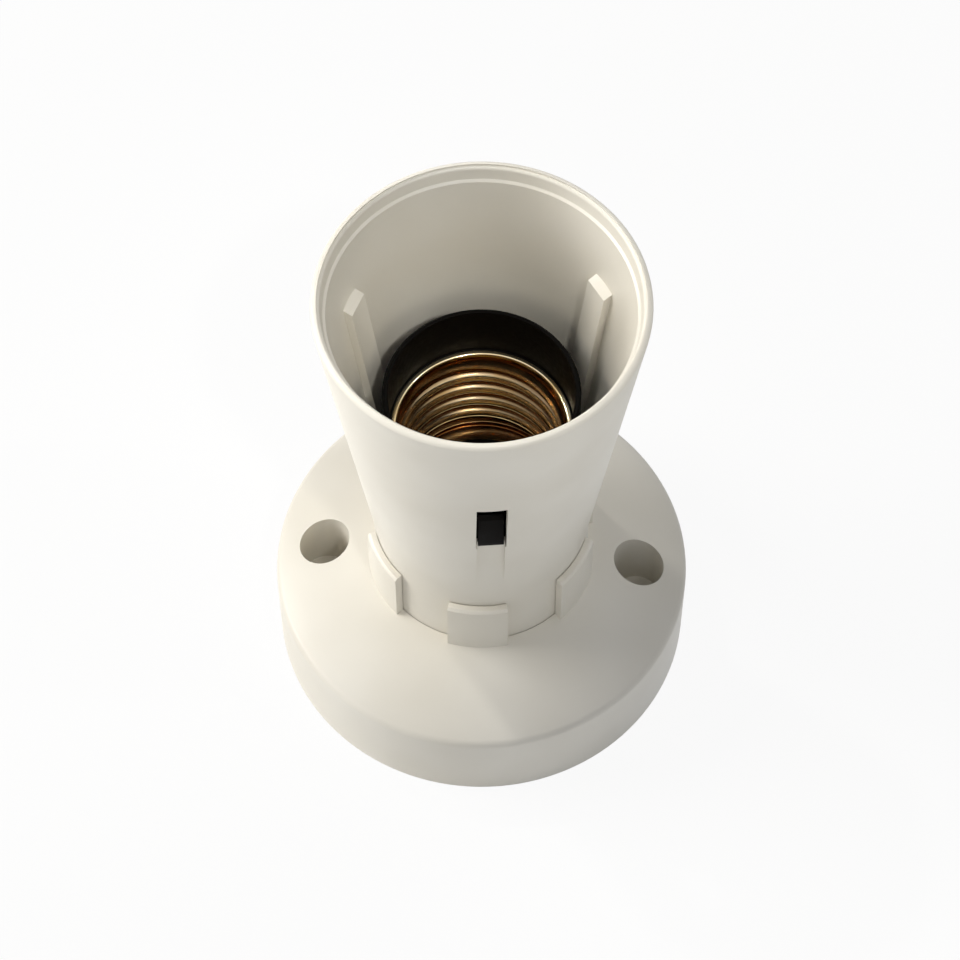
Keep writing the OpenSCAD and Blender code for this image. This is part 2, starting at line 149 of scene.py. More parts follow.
def phenolicMoulding(name, f):
    material, tree = newMaterial(name)
    place = addNode(tree, "ShaderNodeTexCoord").outputs["Object"]
    flecks = addNode(tree, "ShaderNodeTexNoise",
                     {"Vector": place, "Scale": perMm(f["flecks"]), "Detail": 4})
    share = addNode(tree, "ShaderNodeMapRange", {
        "Value": flecks.outputs[0], "From Min": f["fleckRange"][0], "From Max": f["fleckRange"][1]})
    colour = addNode(tree, "ShaderNodeMix",
                     {0: share.outputs[0], 6: linear(f["deep"]), 7: linear(f["light"])}, data_type="RGBA")
    rough = addNode(tree, "ShaderNodeMapRange", {
        "Value": flecks.outputs[0], "From Min": f["grainRange"][0], "From Max": f["grainRange"][1],
        "To Min": f["gloss"][0], "To Max": f["gloss"][1]})
    bump = addNode(tree, "ShaderNodeBump", {"Height": flecks.outputs[0], "Distance": f["grainHeight"] * mm})
    shader = addNode(tree, "ShaderNodeBsdfPrincipled", {
        "Base Color": colour.outputs[2], "Roughness": rough.outputs[0], "Normal": bump.outputs[0],
        "IOR": f["ior"], "Specular IOR Level": f["shine"]})
    addNode(tree, "ShaderNodeOutputMaterial", {"Surface": shader.outputs[0]})
    return material


# Metals: tone is the clean metal, stain its tarnish, drawn the spacing of the rolling or turning lines.
# In the shell's thread the valleys are painted dark brown up to the lip, painted shade for the deep of the
# thread, and the crests keep the clean tone.
brassFinish = {"tone": "#FAEBC8", "stain": "#E6C588", "stains": 6, "drawn": 0.6, "gloss": (0.15, 0.24),
               "lineHeight": 0.0003, "crest": 12.35, "valley": 13.2, "valleyTone": "#7E4C1E",
               "lipFrom": 58.8}
stripFinish = {"tone": "#D9B066", "stain": "#C9A050", "stains": 5, "drawn": 0.35, "gloss": (0.24, 0.38),
               "lineHeight": 0.0012}
platedFinish = {"tone": "#C9C8C2", "stain": "#A6A39B", "stains": 4, "drawn": 0.2, "gloss": (0.22, 0.36),
                "lineHeight": 0.0015}
springFinish = {"tone": "#9C9A96", "stain": "#6F6B66", "stains": 2, "drawn": 0.15, "gloss": (0.28, 0.4),
                "lineHeight": 0.001}
metalWear = {"stainRange": (0.4, 0.75), "dullRange": (0.35, 0.7), "squeeze": (0.06, 0.06, 1)}  # for all four


def rolledMetal(name, f, wear):
    # bright and coloured where clean, warmer and duller in the tarnish, with lines left by rolls or tool
    material, tree = newMaterial(name)
    place = addNode(tree, "ShaderNodeTexCoord").outputs["Object"]
    stains = addNode(tree, "ShaderNodeTexNoise",
                     {"Vector": place, "Scale": perMm(f["stains"]), "Detail": 3})
    squeezed = addNode(tree, "ShaderNodeMapping", {"Vector": place, "Scale": wear["squeeze"]})
    lines = addNode(tree, "ShaderNodeTexNoise", {"Vector": squeezed.outputs[0], "Scale": perMm(f["drawn"]),
                                                 "Detail": 2})
    share = addNode(tree, "ShaderNodeMapRange", {
        "Value": stains.outputs[0], "From Min": wear["stainRange"][0], "From Max": wear["stainRange"][1]})
    colour = addNode(tree, "ShaderNodeMix",
                     {0: share.outputs[0], 6: linear(f["tone"]), 7: linear(f["stain"])}, data_type="RGBA")
    # painted shade: below the lip the thread valleys are darkened to a brown, more the deeper they lie
    if "valley" in f:
        flat = addNode(tree, "ShaderNodeVectorMath", {0: place, 1: (1, 1, 0)}, operation="MULTIPLY")
        reach = addNode(tree, "ShaderNodeVectorMath", {0: flat.outputs[0]}, operation="LENGTH")
        height = addNode(tree, "ShaderNodeSeparateXYZ", {0: place}).outputs["Z"]
        below = addNode(tree, "ShaderNodeMath", {0: height, 1: f["lipFrom"] * mm}, operation="LESS_THAN")
        depth = addNode(tree, "ShaderNodeMapRange", {
            "Value": reach.outputs["Value"], "From Min": f["crest"] * mm, "From Max": f["valley"] * mm,
            "To Max": below.outputs[0]})
        colour = addNode(tree, "ShaderNodeMix", {0: depth.outputs[0], 6: colour.outputs[2],
                                                 7: linear(f["valleyTone"])}, data_type="RGBA")
    rough = addNode(tree, "ShaderNodeMapRange", {
        "Value": stains.outputs[0], "From Min": wear["dullRange"][0], "From Max": wear["dullRange"][1],
        "To Min": f["gloss"][0], "To Max": f["gloss"][1]})
    bump = addNode(tree, "ShaderNodeBump", {"Height": lines.outputs[0], "Distance": f["lineHeight"] * mm})
    shader = addNode(tree, "ShaderNodeBsdfPrincipled", {
        "Base Color": colour.outputs[2], "Roughness": rough.outputs[0], "Normal": bump.outputs[0],
        "Metallic": 1})
    addNode(tree, "ShaderNodeOutputMaterial", {"Surface": shader.outputs[0]})
    return material


whiteUrea = ureaMoulding("white_urea_moulding", whiteFinish)
blackPhenolic = phenolicMoulding("black_phenolic_moulding", blackFinish)
brassSheet = rolledMetal("rolled_brass_sheet", brassFinish, metalWear)
brassStrip = rolledMetal("punched_brass_strip", stripFinish, metalWear)
platedSteel = rolledMetal("zinc_plated_steel", platedFinish, metalWear)
springWire = rolledMetal("spring_steel_wire", springFinish, metalWear)
print("materials made")


# Sizes that the pieces share, in mm, as in the CAD model

levels = {"seat": 14, "chamber": 32, "tabTop": 33, "floor": 37.5, "shellTop": 59.5, "rim": 70, "mouth": 96}
radii = {"root": 13.35, "bore": 13.85, "lipSeat": 14.23, "throat": 14.43, "core": 15.3, "footIn": 15.7,
         "foot": 17.5, "collar": 17.6, "mouth": 25.2, "base": 34.2}
weldGap = 0.002  # points nearer than this are one


def arc(centre, r, fromDeg, toDeg, steps):
    angles = [math.radians(fromDeg + (toDeg - fromDeg) * i / steps) for i in range(steps + 1)]
    return [(centre[0] + r * math.cos(a), centre[1] + r * math.sin(a)) for a in angles]


# Geometry Nodes

def startTree(name, inputs):
    tree = bpy.data.node_groups.new(name, "GeometryNodeTree")
    tree.interface.new_socket("Geometry", in_out="OUTPUT", socket_type="NodeSocketGeometry")
    for label, kind in inputs:
        tree.interface.new_socket(label, in_out="INPUT", socket_type="NodeSocket" + kind)
    return tree, tree.nodes.new("NodeGroupInput").outputs


def endTree(tree, last, given):
    real = addNode(tree, "GeometryNodeRealizeInstances", {"Geometry": last.outputs[0]})
    dressed = addNode(tree, "GeometryNodeSetMaterial",
                      {"Geometry": real.outputs[0], "Material": given["Material"]})
    tree.links.new(dressed.outputs[0], tree.nodes.new("NodeGroupOutput").inputs[0])
    return tree


def turningTree():
    # a section turned round the axis, with a rolled or cut thread where it has one
    tree, given = startTree("turned_section", (
        ("Section", "Geometry"), ("Section Points", "Int"), ("Steps Round", "Int"),
        ("Thread Depth", "Float"), ("Thread Pitch", "Float"), ("Thread Start", "Float"),
        ("Thread End", "Float"), ("Run Out", "Float"), ("Cut Thread", "Float"),
        ("Notch Half Angle", "Float"), ("Notch Radius", "Float"), ("Notch Top", "Float"),
        ("Material", "Material")))
    grid = addNode(tree, "GeometryNodeMeshGrid")
    position = addNode(tree, "GeometryNodeInputPosition").outputs[0]
    sample = addNode(tree, "GeometryNodeSampleIndex", {"Geometry": given["Section"], "Value": position},
                     data_type="FLOAT_VECTOR", domain="POINT", clamp=True)
    point = addNode(tree, "ShaderNodeSeparateXYZ", {0: sample.outputs[0]}).outputs
    known = {socket.name: socket for socket in given}
    known.update(index=addNode(tree, "GeometryNodeInputIndex").outputs[0], r=point["X"], z=point["Z"])
    # each line is one sum: its name, the operation and what goes in
    for name, operation, *terms in (
            ("rows", "ADD", "Section Points", 1),
            ("columns", "ADD", "Steps Round", 1),
            ("inside", "ADD", "index", 0.5),
            ("columnsPassed", "DIVIDE", "inside", "rows"),
            ("column", "FLOOR", "columnsPassed"),
            ("pointsPassed", "MULTIPLY", "column", "rows"),
            ("row", "SUBTRACT", "index", "pointsPassed"),
            ("sectionPoint", "MODULO", "row", "Section Points"),
            ("roundShare", "DIVIDE", "column", "Steps Round"),
            ("angle", "MULTIPLY", "roundShare", 2 * math.pi),
            # how far the thread has faded in or out at this height
            ("aboveStart", "SUBTRACT", "z", "Thread Start"),
            ("belowEnd", "SUBTRACT", "Thread End", "z"),
            ("fromEnds", "MINIMUM", "aboveStart", "belowEnd"),
            ("fadeRaw", "DIVIDE", "fromEnds", "Run Out"),
            ("fadeLow", "MAXIMUM", "fadeRaw", 0),
            ("fade", "MINIMUM", "fadeLow", 1),
            # place across one thread, 0 in the valley and half a pitch on the crest
            ("pitchesUp", "DIVIDE", "z", "Thread Pitch"),
            ("turns", "SUBTRACT", "pitchesUp", "roundShare"),
            ("swing", "PINGPONG", "turns", 0.5),
            ("across", "MULTIPLY", "swing", "Thread Pitch"),
            ("halfPitch", "MULTIPLY", "Thread Pitch", 0.5),
            ("quarter", "MULTIPLY", "Thread Pitch", 0.25),
            ("toCrest", "SUBTRACT", "halfPitch", "across"),
            ("nearest", "MINIMUM", "across", "toCrest"),
            # rolled thread: crest and valley are arcs of one radius that meet halfway down
            ("halfDepth", "MULTIPLY", "Thread Depth", 0.5),
            ("halfDepth2", "MULTIPLY", "halfDepth", "halfDepth"),
            ("quarter2", "MULTIPLY", "quarter", "quarter"),
            ("both", "ADD", "halfDepth2", "quarter2"),
            ("arcRadius", "DIVIDE", "both", "Thread Depth"),
            ("arcRadius2", "MULTIPLY", "arcRadius", "arcRadius"),
            ("nearest2", "MULTIPLY", "nearest", "nearest"),
            ("left", "SUBTRACT", "arcRadius2", "nearest2"),
            ("drop", "SQRT", "left"),
            ("sag", "SUBTRACT", "arcRadius", "drop"),
            ("onCrest", "GREATER_THAN", "across", "quarter"),
            ("twoSags", "MULTIPLY", "sag", 2),
            ("flip", "SUBTRACT", "Thread Depth", "twoSags"),
            ("flipped", "MULTIPLY", "onCrest", "flip"),
            ("rolled", "ADD", "sag", "flipped"),
            # cut thread: straight flanks
            ("twoSwings", "MULTIPLY", "swing", 2),
            ("straight", "MULTIPLY", "twoSwings", "Thread Depth"),
            ("change", "SUBTRACT", "straight", "rolled"),
            ("changed", "MULTIPLY", "change", "Cut Thread"),
            ("full", "ADD", "rolled", "changed"),
            ("depth", "MULTIPLY", "full", "fade"),
            ("threaded", "SUBTRACT", "r", "depth"),
            # the notch in the flange, opposite the start
            ("fromBack", "SUBTRACT", "angle", math.pi),
            ("awayFromBack", "ABSOLUTE", "fromBack"),
            ("inNotch", "LESS_THAN", "awayFromBack", "Notch Half Angle"),
            ("onFlange", "LESS_THAN", "z", "Notch Top"),
            ("notched", "MULTIPLY", "inNotch", "onFlange"),
            ("notch", "MULTIPLY", "notched", "Notch Radius"),
            ("reach", "MAXIMUM", "threaded", "notch"),
            ("cosine", "COSINE", "angle"),
            ("sine", "SINE", "angle"),
            ("x", "MULTIPLY", "reach", "cosine"),
            ("y", "MULTIPLY", "reach", "sine")):
        known[name] = addNode(tree, "ShaderNodeMath", {i: known.get(t, t) for i, t in enumerate(terms)},
                              operation=operation).outputs[0]
    tree.links.new(known["columns"], grid.inputs["Vertices X"])
    tree.links.new(known["rows"], grid.inputs["Vertices Y"])
    tree.links.new(known["sectionPoint"], sample.inputs["Index"])
    place = addNode(tree, "ShaderNodeCombineXYZ", {"X": known["x"], "Y": known["y"], "Z": known["z"]})
    turned = addNode(tree, "GeometryNodeSetPosition",
                     {"Geometry": grid.outputs["Mesh"], "Position": place.outputs[0]})
    closed = addNode(tree, "GeometryNodeMergeByDistance",
                     {"Geometry": turned.outputs[0], "Distance": weldGap * mm})
    smooth = addNode(tree, "GeometryNodeSetShadeSmooth", {"Geometry": closed.outputs[0]})
    return endTree(tree, smooth, given)


def coilTree():
    # wire wound on a helix, for the spring under the contact button
    tree, given = startTree("coiled_wire", (
        ("Turns", "Float"), ("Coil Radius", "Float"), ("Height", "Float"), ("Wire Radius", "Float"),
        ("Bottom", "Float"), ("Steps Per Turn", "Int"), ("Steps Round Wire", "Int"),
        ("Material", "Material")))
    helix = addNode(tree, "GeometryNodeCurveSpiral",
                    {"Resolution": given["Steps Per Turn"], "Rotations": given["Turns"],
                     "Start Radius": given["Coil Radius"], "End Radius": given["Coil Radius"],
                     "Height": given["Height"]})
    ring = addNode(tree, "GeometryNodeCurvePrimitiveCircle",
                   {"Resolution": given["Steps Round Wire"], "Radius": given["Wire Radius"]})
    wire = addNode(tree, "GeometryNodeCurveToMesh",
                   {"Curve": helix.outputs[0], "Profile Curve": ring.outputs[0], "Fill Caps": True})
    lift = addNode(tree, "ShaderNodeCombineXYZ", {"Z": given["Bottom"]})
    placed = addNode(tree, "GeometryNodeTransform",
                     {"Geometry": wire.outputs[0], "Translation": lift.outputs[0]})
    return endTree(tree, placed, given)


def runTree(name, tree, inputs, start=None):
    # gives the tree its inputs, turns what it makes into a plain mesh and drops the helper
    work = bpy.data.objects.new(name + "_work", start or bpy.data.meshes.new(name + "_start"))
    scene.collection.objects.link(work)
    modifier = work.modifiers.new("shape", "NODES")
    modifier.node_group = tree
    for item in tree.interface.items_tree:
        if item.in_out == "INPUT" and item.name in inputs:
            modifier[item.identifier] = inputs[item.name]
    return bakeObject(work)


def bakeObject(work):
    bpy.context.view_layer.update()
    evaluated = work.evaluated_get(bpy.context.evaluated_depsgraph_get())
    mesh = bpy.data.meshes.new_from_object(evaluated)
    mesh.name = work.name.replace("_work", "")
    work.modifiers.clear()
    bpy.data.objects.remove(work)
    return mesh


# From mesh to piece

def closeMesh(mesh, gap=weldGap, needle=0.001, turnOut=False):
    # closes seams up to gap wide and drops faces thinner than needle, both in mm
    bm = bmesh.new()
    bm.from_mesh(mesh)
    bmesh.ops.remove_doubles(bm, verts=bm.verts, dist=gap * mm)
    if needle:
        bmesh.ops.dissolve_degenerate(bm, edges=bm.edges, dist=needle * mm)
    if turnOut:
        bmesh.ops.recalc_face_normals(bm, faces=bm.faces)
    bm.to_mesh(mesh)
    bm.free()
    return mesh


def tidyMesh(mesh, sharp):
    closeMesh(mesh, turnOut=True)
    mesh.shade_smooth()
    mesh.set_sharp_from_angle(angle=math.radians(sharp))


def hangPiece(name, mesh, material, body, slot, *nodes):
    mesh.materials.clear()
    mesh.materials.append(material)
    piece = bpy.data.objects.new(name, mesh)
    scene.collection.objects.link(piece)
    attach(piece, body)
    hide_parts(*nodes)
    return piece


def softenedCopy(name, node, edge, steps=2, limit=35, flat=0.3):
    # the CAD node's own mesh with its flat faces whole again and its sharp edges rounded, angles in degrees
    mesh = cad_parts[node].data.copy()
    bm = bmesh.new()
    bm.from_mesh(mesh)
    bmesh.ops.remove_doubles(bm, verts=bm.verts, dist=weldGap * mm)
    bmesh.ops.dissolve_limit(bm, angle_limit=math.radians(flat), verts=bm.verts, edges=bm.edges)
    bm.to_mesh(mesh)
    bm.free()
    mesh.shade_smooth()
    work = bpy.data.objects.new(name + "_work", mesh)
    scene.collection.objects.link(work)
    bevel = work.modifiers.new("edges", "BEVEL")
    bevel.width = edge * mm
    bevel.segments = steps
    bevel.limit_method = "ANGLE"
    bevel.angle_limit = math.radians(limit)
    bevel.use_clamp_overlap = True
    bevel.harden_normals = True
    return closeMesh(bakeObject(work), gap=0.0003, needle=0)


def shadeAsTurned(mesh, forms, reach=0.02, over=0.02, alike=0.8, bend=0.85):
    # corners on a turned surface take its true direction, so that cuts leave no streaks in the gloss:
    # reach is how far off they may lie in mm, alike how well the face must agree, bend what counts as smooth
    count = len(mesh.loops)
    normals = np.empty(count * 3, np.float32)
    mesh.corner_normals.foreach_get("vector", normals)
    normals = normals.reshape(-1, 3)
    corner = np.empty(count, np.int32)
    mesh.loops.foreach_get("vertex_index", corner)
    places = np.empty(len(mesh.vertices) * 3, np.float32)
    mesh.vertices.foreach_get("co", places)
    places = places.reshape(-1, 3)[corner] / mm
    faces = np.empty(len(mesh.polygons) * 3, np.float32)
    mesh.polygons.foreach_get("normal", faces)
    sides = np.empty(len(mesh.polygons), np.int32)
    mesh.polygons.foreach_get("loop_total", sides)
    faces = np.repeat(faces.reshape(-1, 3), sides, axis=0)
    best = np.full(count, alike)
    for centre, points in forms:
        flat = places[:, :2] - np.array(centre)
        r = np.maximum(np.linalg.norm(flat, axis=1), 1e-6)
        out = flat / r[:, None]
        facing = np.stack([(faces[:, :2] * out).sum(1), faces[:, 2]], 1)
        at = np.stack([r, places[:, 2]], 1)
        line = np.array(points, float)
        step = line[1:] - line[:-1]
        length = np.linalg.norm(step, axis=1)
        own = np.stack([step[:, 1], -step[:, 0]], 1) / length[:, None]
        for i in range(len(step)):
            t = ((at - line[i]) @ step[i]) / length[i] ** 2
            gap = np.abs((at - line[i]) @ own[i])
            agree = facing @ own[i]
            use = (gap < reach) & (t > -over) & (t < 1 + over) & (np.abs(agree) > best)
            ends = [own[i], own[i]]
            for k, other in ((0, i - 1), (1, i + 1)):
                if 0 <= other < len(step) and own[other] @ own[i] > bend:
                    ends[k] = own[i] + own[other]
                    ends[k] = ends[k] / np.linalg.norm(ends[k])
            share = np.clip(t, 0, 1)[:, None]
            way = (ends[0] * (1 - share) + ends[1] * share) * np.sign(agree)[:, None]
            new = np.concatenate([out * way[:, :1], way[:, 1:]], 1)
            new /= np.linalg.norm(new, axis=1)[:, None]
            normals[use] = new[use]
            best[use] = np.abs(agree)[use]
    mesh.normals_split_custom_set(normals.tolist())


def cutBox(mesh, name, cut, sharp=40):
    # a screwdriver slot: sizes and middle in mm, turned about the vertical
    box = bpy.data.meshes.new("slot")
    bm = bmesh.new()
    bmesh.ops.create_cube(bm, size=1, matrix=Matrix.Translation([v * mm for v in cut["middle"]])
                          @ Matrix.Rotation(math.radians(cut["turn"]), 4, "Z")
                          @ Matrix.Diagonal([v * mm for v in cut["size"]] + [1]))
    bm.to_mesh(box)
    bm.free()
    tool = bpy.data.objects.new("slot", box)
    scene.collection.objects.link(tool)
    work = bpy.data.objects.new(name + "_work", mesh)
    scene.collection.objects.link(work)
    boolean = work.modifiers.new("slot", "BOOLEAN")
    boolean.operation = "DIFFERENCE"
    boolean.object = tool
    boolean.solver = "EXACT"
    made = closeMesh(bakeObject(work))
    bpy.data.objects.remove(tool)
    made.shade_smooth()
    made.set_sharp_from_angle(angle=math.radians(sharp))
    return made


def turnedPiece(name, p, material, body, slot, node):
    section = bpy.data.meshes.new(name + "_section")
    section.from_pydata([(r * mm, 0, z * mm) for r, z in p["section"]], [], [])
    thread = p.get("thread", {"depth": 0, "pitch": 1, "start": 0, "end": 0, "runOut": 1})  # none
    mesh = runTree(name, turning, {
        "Section Points": len(p["section"]), "Steps Round": p["steps"],
        "Thread Depth": thread["depth"] * mm, "Thread Pitch": thread["pitch"] * mm,
        "Thread Start": thread["start"] * mm, "Thread End": thread["end"] * mm,
        "Run Out": thread["runOut"] * mm, "Cut Thread": thread.get("cut", 0.0),
        "Notch Half Angle": math.radians(p.get("notchHalf", 0)), "Notch Radius": p.get("notchRadius", 0) * mm,
        "Notch Top": p.get("notchTop", 0) * mm, "Material": material}, section)
    tidyMesh(mesh, p.get("sharp", 40))
    if "centre" in p:
        mesh.transform(Matrix.Translation((p["centre"][0] * mm, p["centre"][1] * mm, 0)))
    for cut in p.get("slots", []):
        mesh = cutBox(mesh, name, cut)
    return hangPiece(name, mesh, material, body, slot, node)


turning = turningTree()
coil = coilTree()
print("node trees made")


# White mouldings

basePiece = {"soft": 0.3, "skirt": 15.7, "rise": 7.6, "edge": 1.6, "domeSteps": 14, "wall": 2.2,
             "wallTop": 13.2, "hub": 19.6, "tab": 1.35, "tabLow": 10, "tabChamfer": 0.45, "recessAt": 26.2,
             "recess": 4.2, "recessLow": 5, "hole": 2.2, "holeTop": 7, "boss": 6.4, "highest": 24}
tubePiece = {"soft": 0.25, "wall": 1.8, "taper": 0.1242, "coneStart": 34, "lip": 0.35, "lipHeight": 2.6}


def baseForms(p):
    big = (radii["base"] ** 2 + p["rise"] ** 2) / (2 * p["rise"])
    low = p["skirt"] + p["rise"] - big
    edgeZ = low + math.sqrt((big - p["edge"]) ** 2 - (radii["base"] - p["edge"]) ** 2)
    edgeAngle = math.degrees(math.atan2(edgeZ - low, radii["base"] - p["edge"]))
    last = big * math.cos(math.radians(edgeAngle))
    inward = [last * (1 - i / p["domeSteps"]) for i in range(1, p["domeSteps"] + 1)]
    dome = [(r, low + math.sqrt(big ** 2 - r ** 2)) for r in inward]
    outside = ([(radii["base"], 0)]
               + arc((radii["base"] - p["edge"], edgeZ), p["edge"], 0, edgeAngle, 6) + dome)
    # upright walls: place along the row of holes, radius, bottom and top
    walls = [(0, radii["collar"], levels["seat"], levels["tabTop"]),
             (0, radii["collar"] + p["tab"], p["tabLow"], levels["tabTop"] - p["tabChamfer"]),
             (0, p["hub"], 0, p["highest"]), (0, radii["base"] - p["wall"], 0, p["wallTop"])]
    for at in (-p["recessAt"], p["recessAt"]):
        walls += [(at, p["recess"], p["recessLow"], p["highest"]), (at, p["hole"], -1, p["holeTop"]),
                  (at, p["boss"], 0, p["highest"])]
    return [((0, 0), outside)] + [((at, 0), [(r, z), (r, top)]) for at, r, z, top in walls]


def tubeForms(p):
    half = p["wall"] / 2
    stepZ = levels["mouth"] - p["lipHeight"]

    def inside(z):
        return radii["foot"] + p["taper"] * (z - p["coneStart"]) - p["wall"]

    rim = (radii["mouth"] - half, levels["mouth"] - half)
    return [((0, 0), [(radii["footIn"], levels["seat"]), (radii["foot"], levels["seat"]),
                      (radii["foot"], p["coneStart"])] + arc(rim, half, 0, 90, 5)
             + arc(rim, half - p["lip"], 90, 180, 4)
             + [(inside(stepZ) + p["lip"], stepZ), (inside(stepZ - p["lip"]), stepZ - p["lip"]),
                (radii["footIn"], p["coneStart"]), (radii["footIn"], levels["seat"])])]


mesh = softenedCopy("base_moulding", "base_housing", basePiece["soft"])
shadeAsTurned(mesh, baseForms(basePiece))
hangPiece("base_moulding", mesh, whiteUrea, "holder", "white_base", "base_housing")
mesh = softenedCopy("tube_moulding", "shade_tube", tubePiece["soft"])
shadeAsTurned(mesh, tubeForms(tubePiece))
hangPiece("tube_moulding", mesh, whiteUrea, "holder", "white_tube", "shade_tube")
print("white mouldings made")


# Black insert

insertPiece = {"soft": 0.2, "chamber": 13.7, "chamfer": 0.3, "step": 59.15}


def insertForms(p):
    return [((0, 0), [(p["chamber"], levels["chamber"]), (p["chamber"], levels["seat"]),
                      (radii["core"], levels["seat"]), (radii["core"], levels["rim"] - p["chamfer"]),
                      (radii["core"] - p["chamfer"], levels["rim"]), (radii["throat"], levels["rim"]),
                      (radii["throat"], levels["shellTop"]), (radii["lipSeat"], levels["shellTop"]),
                      (radii["lipSeat"], p["step"]), (radii["bore"], p["step"]),
                      (radii["bore"], levels["floor"])])]


mesh = softenedCopy("insert_moulding", "insulating_core", insertPiece["soft"])
shadeAsTurned(mesh, insertForms(insertPiece))
hangPiece("insert_moulding", mesh, blackPhenolic, "holder", "black_insert", "insulating_core")
print("insert made")


# Brass screw shell: rolled right-handed thread, turned-out lip on top, turned-in flange below

shellPiece = {"wall": 0.35, "flange": 10.6, "lip": 14.08, "plain": 1.2, "flangeBend": (0.6, 0.3),
              "lipBend": (0.2, 0.3), "rows": 162, "steps": 144, "sharp": 50,
              "notchHalf": 13.5, "notchRadius": 12.95, "notchTop": 38.4,
              "thread": {"depth": 1.1, "pitch": 3.629, "start": 38.7, "end": 58.3, "runOut": 1.8145}}


def shellSection(p):
    low, high, wall = levels["floor"], levels["shellTop"], p["wall"]
    inner, outer = radii["root"], radii["root"] + wall
    walls = [low + p["plain"] + (high - low - 2 * p["plain"]) * i / p["rows"] for i in range(p["rows"] + 1)]
    outR, inR = p["flangeBend"]  # bend radii of the sheet's outer and inner face
    bendOut = arc((outer - outR, low + outR), outR, -90, 0, 5)
    bendIn = arc((inner - inR, low + wall + inR), inR, 0, -90, 4)
    outR, inR = p["lipBend"]
    lipOut = arc((outer + outR, high - wall - outR), outR, 180, 90, 3)
    lipIn = arc((inner + inR, high - inR), inR, 90, 180, 4)
    return ([(p["flange"], low)] + bendOut + [(outer, z) for z in walls] + lipOut
            + [(p["lip"], high - wall), (p["lip"], high)] + lipIn + [(inner, z) for z in reversed(walls)]
            + bendIn + [(p["flange"], low + wall)])


shellPiece["section"] = shellSection(shellPiece)
turnedPiece("screw_shell_rolled", shellPiece, brassSheet, "holder", "brass_shell", "screw_shell")
print("screw shell made")


# Centre contact

buttonPiece = {"steps": 64, "section": [(0, 30.15)] + arc((1.2, 30.45), 0.3, -90, 0, 3)
               + [(1.5, 41.7), (4.05, 41.7)] + arc((4.05, 41.85), 0.15, -90, 0, 2)
               + [(4.2, 42.5), (4.1, 42.75), (3.3, 43.16), (2.31, 43.42), (1.2, 43.49), (0, 43.5)]}
turnedPiece("contact_button_turned", buttonPiece, brassStrip, "contact", "brass_contact", "contact_button")

springPiece = {"turns": 4, "coil": 2.3, "wire": 0.29, "low": 35.4, "high": 41.7, "gap": 0.02,
               "steps": 40, "wireSteps": 12, "sharp": 50}
endRoom = springPiece["wire"] + springPiece["gap"]  # from the wire's middle to either end
mesh = runTree("contact_spring_coil", coil, {
    "Turns": springPiece["turns"], "Coil Radius": springPiece["coil"] * mm,
    "Height": (springPiece["high"] - springPiece["low"] - 2 * endRoom) * mm,
    "Wire Radius": springPiece["wire"] * mm, "Bottom": (springPiece["low"] + endRoom) * mm,
    "Steps Per Turn": springPiece["steps"], "Steps Round Wire": springPiece["wireSteps"],
    "Material": springWire})
tidyMesh(mesh, springPiece["sharp"])
spring = hangPiece("contact_spring_coil", mesh, springWire, "holder", "spring_steel", "contact_spring")
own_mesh(spring)

clipPiece = {"steps": 48, "section": [(1.52, 31.35), (2.92, 31.35), (3, 31.43), (3, 31.87), (2.92, 31.95),
                                      (1.52, 31.95)]}
turnedPiece("stem_clip_ring", clipPiece, springWire, "contact", "spring_steel", "stem_clip")
print("centre contact made")


# Strips and terminal plates

platePieces = {"live_strip": 0.08, "neutral_strip": 0.08, "live_terminal_plate": 0.15,
               "neutral_terminal_plate": 0.15}  # how far each one's edges are rounded
for node, soft in platePieces.items():
    mesh = softenedCopy(node + "_punched", node, soft)
    hangPiece(node + "_punched", mesh, brassStrip, "holder", "brass_strip", node)
print("strips and plates made")


# Rivets, screws and washers

rivetPiece = {"steps": 40, "shank": 1.2, "head": 1.92, "height": 0.96, "plate": 30.8, "tailEdge": 0.3,
              "tailSlope": 0.4, "dimple": [(0.5, 0), (0.3, 0.25), (0, 0.3)],
              "places": {"live": ((7, 0), 35.4), "neutral": ((-10.2, 0), 37.5)}}
p = rivetPiece
for side, (centre, top) in p["places"].items():
    dome = [(x * p["head"], top + y * p["height"]) for x, y in arc((0, 0), 1, 90, 0, 8)]
    low = p["plate"] - p["height"]
    section = dome + [(p["shank"], top), (p["shank"], p["plate"]), (p["head"], p["plate"]),
                      (p["head"], p["plate"] - p["tailEdge"]), (p["head"] - p["tailSlope"], low)]
    section += [(r, low + z) for r, z in p["dimple"]]
    rivet = {"steps": p["steps"], "centre": centre, "section": section}
    turnedPiece(side + "_rivet_set", rivet, platedSteel, "holder", "plated_rivet", side + "_rivet")

